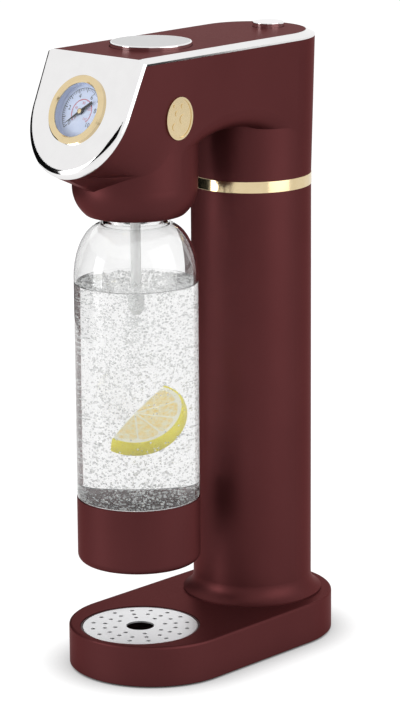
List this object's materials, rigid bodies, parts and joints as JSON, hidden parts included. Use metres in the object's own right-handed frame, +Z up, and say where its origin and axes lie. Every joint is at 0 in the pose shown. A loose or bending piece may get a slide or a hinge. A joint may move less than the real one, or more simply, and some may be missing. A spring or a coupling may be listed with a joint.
{
  "type": "countertop carbonation machine",
  "caption": "Countertop home carbonation machine with a round column, slanted gauge face, push button, screw-in glass bottle and drip tray.",
  "frame": {"origin": "centre of the base's footprint, on the table under the rubber feet", "axes": "+Z up from the table; -Y towards the front, where the bottle hangs; +X to the right of someone facing +Y, on the badge's side"},
  "size_m": [0.1232, 0.2539, 0.4541],
  "materials": {
    "maroon_paint": "satin",
    "chrome_plate": "polished",
    "gold_plate": "polished",
    "brushed_steel": "brushed",
    "zinc_steel": "zinc plated",
    "cast_aluminium": "bead blasted",
    "machined_brass": "machined",
    "black_plastic": "moulded",
    "maroon_plastic": "moulded",
    "pale_plastic": "moulded",
    "dial_white": "printed",
    "needle_black": "painted",
    "clear_glass": "clear",
    "dark_rubber": "moulded"
  },
  "bodies": {
    "machine": {"base_shell": "maroon_paint", "base_plate": "black_plastic", "rubber_feet": "dark_rubber", "base_screws": "zinc_steel", "column_shell": "maroon_paint", "gold_ring": "gold_plate", "lower_guide": "black_plastic", "upper_guide": "black_plastic", "tie_rods": "zinc_steel", "tie_nuts": "zinc_steel", "head_shell": "maroon_paint", "chrome_trim": "chrome_plate", "head_lid": "maroon_paint", "face_plate": "chrome_plate", "gauge_case": "black_plastic", "gauge_bezel": "gold_plate", "gauge_glass": "clear_glass", "gauge_dial": "dial_white", "gauge_movement": "machined_brass", "bourdon_tube": "machined_brass", "head_chassis": "cast_aluminium", "chassis_screws": "zinc_steel", "lever_bracket": "zinc_steel", "lever_pin": "zinc_steel", "button_spring": "zinc_steel", "release_spring": "zinc_steel", "release_valve": "machined_brass", "cylinder_socket": "cast_aluminium", "cylinder_seal": "dark_rubber", "nozzle_block": "cast_aluminium", "bottle_socket": "black_plastic", "carbonation_tube": "pale_plastic", "safety_valve": "machined_brass", "gas_pipe": "zinc_steel", "vent_pipe": "zinc_steel", "gauge_pipe": "zinc_steel", "side_badge": "gold_plate"},
    "button": {"carbonation_button": "chrome_plate", "button_inlay": "brushed_steel", "stem_clip": "zinc_steel"},
    "lever": {"carbonation_lever": "zinc_steel"},
    "push_pin": {"push_pin": "zinc_steel"},
    "cylinder": {"co2_cylinder": "cast_aluminium", "cylinder_valve": "machined_brass"},
    "valve_pin": {"valve_pin": "zinc_steel"},
    "release": {"release_button": "chrome_plate"},
    "needle": {"gauge_needle": "needle_black"},
    "bottle_seal": {"bottle_gasket": "dark_rubber"},
    "bottle": {"bottle": "clear_glass", "bottle_sleeve": "maroon_paint"},
    "drip_cup": {"drip_cup": "maroon_plastic"},
    "drip_plate": {"drip_plate": "brushed_steel"},
    "hatch": {"cylinder_hatch": "black_plastic"}
  },
  "joints": [
    {"name": "button_press", "type": "slide", "parent": "machine", "child": "button", "axis": [0, 0, -1], "range_m": [0, 0.005], "stiffness_N_per_m": 600, "springref_m": -0.006, "deforming": ["button_spring"]},
    {"name": "lever_pivot", "type": "hinge", "parent": "machine", "child": "lever", "pos_m": [0, 0.0834, 0.409], "axis": [1, 0, 0], "range_deg": [0, 2.2]},
    {"name": "push_pin_slide", "type": "slide", "parent": "machine", "child": "push_pin", "axis": [0, 0, -1], "range_m": [0, 0.00107]},
    {"name": "cylinder_turn", "type": "hinge", "parent": "machine", "child": "cylinder", "pos_m": [0, 0.0554, 0.37], "axis": [0, 0, 1], "range_deg": [0, 360]},
    {"name": "valve_pin_slide", "type": "slide", "parent": "cylinder", "child": "valve_pin", "axis": [0, 0, -1], "range_m": [0, 0.00107]},
    {"name": "release_press", "type": "slide", "parent": "machine", "child": "release", "axis": [0, 0, -1], "range_m": [0, 0.0025], "stiffness_N_per_m": 500, "springref_m": -0.003, "deforming": ["release_spring"]},
    {"name": "needle_turn", "type": "hinge", "parent": "machine", "child": "needle", "pos_m": [0, -0.12208, 0.41429], "axis": [0, 0.9063, -0.4226], "range_deg": [0, 270], "stiffness_Nm_per_rad": 0.00002, "springref_deg": -17.19},
    {"name": "bottle_turn", "type": "hinge", "parent": "machine", "child": "bottle_seal", "pos_m": [0, -0.0662, 0.358], "axis": [0, 0, 1], "range_deg": [0, 360]},
    {"name": "bottle_drop", "type": "slide", "parent": "bottle_seal", "child": "bottle", "axis": [0, 0, -1], "range_m": [0, 0.0245]},
    {"name": "drip_cup_lift", "type": "slide", "parent": "machine", "child": "drip_cup", "axis": [0, 0, 1], "range_m": [0, 0.017]},
    {"name": "drip_plate_lift", "type": "slide", "parent": "drip_cup", "child": "drip_plate", "axis": [0, 0, 1], "range_m": [0, 0.005]},
    {"name": "hatch_turn", "type": "hinge", "parent": "machine", "child": "hatch", "pos_m": [0, 0.0554, 0.003], "axis": [0, 0, 1], "range_deg": [0, 45]}
  ],
  "couplings": [
    {"joint": "lever_pivot", "follows": "button_press", "rad_per_m": 7.5815},
    {"joint": "push_pin_slide", "follows": "button_press", "ratio": 0.21228},
    {"joint": "valve_pin_slide", "follows": "button_press", "ratio": 0.21228}
  ]
}
